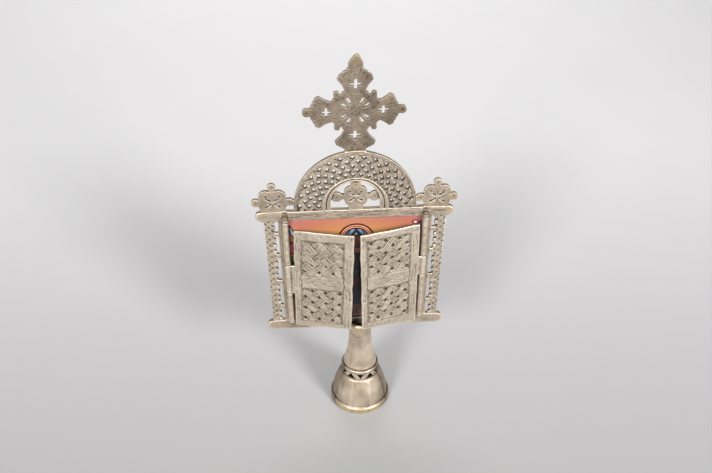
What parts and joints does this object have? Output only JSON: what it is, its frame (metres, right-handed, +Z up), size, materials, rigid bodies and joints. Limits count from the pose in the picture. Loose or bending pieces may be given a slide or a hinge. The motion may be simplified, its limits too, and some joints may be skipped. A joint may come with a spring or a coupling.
{
  "type": "ethiopian table cross",
  "caption": "Openwork cast metal table cross: hinged doors over a painted panel, a pierced arch with a flared cross above, on a stem and bell-shaped foot.",
  "frame": {"origin": "on the ground under the middle of the plate, at the middle of the foot's depth", "axes": "+Z up, the front with the doors looks along -Y, +X to the viewer's right"},
  "size_m": [0.1562, 0.0536, 0.3199],
  "materials": {
    "cast_metal": "worn grey nickel silver casting with dark recesses",
    "turned_metal": "smoother worn nickel silver, yellow at the rim",
    "pin_wire": "dull dark wire with a knotted head",
    "painted_panel": "thin wooden panel painted in coral, orange, green and blue, varnished"
  },
  "bodies": {
    "cross_body": {"cross_plate": "cast_metal", "icon_panel": "painted_panel", "stem": "turned_metal", "bell_foot": "turned_metal", "left_hinge_pin": "pin_wire", "right_hinge_pin": "pin_wire"},
    "left_door_body": {"left_door": "cast_metal"},
    "right_door_body": {"right_door": "cast_metal"}
  },
  "joints": [
    {"name": "left_door_hinge", "type": "hinge", "parent": "cross_body", "child": "left_door_body", "pos_m": [-0.0538, -0.0043, 0.14], "axis": [0, 0, -1], "range_deg": [-13.5, 151.5]},
    {"name": "right_door_hinge", "type": "hinge", "parent": "cross_body", "child": "right_door_body", "pos_m": [0.0538, -0.0043, 0.14], "axis": [0, 0, 1], "range_deg": [-15.7, 149.3]}
  ]
}
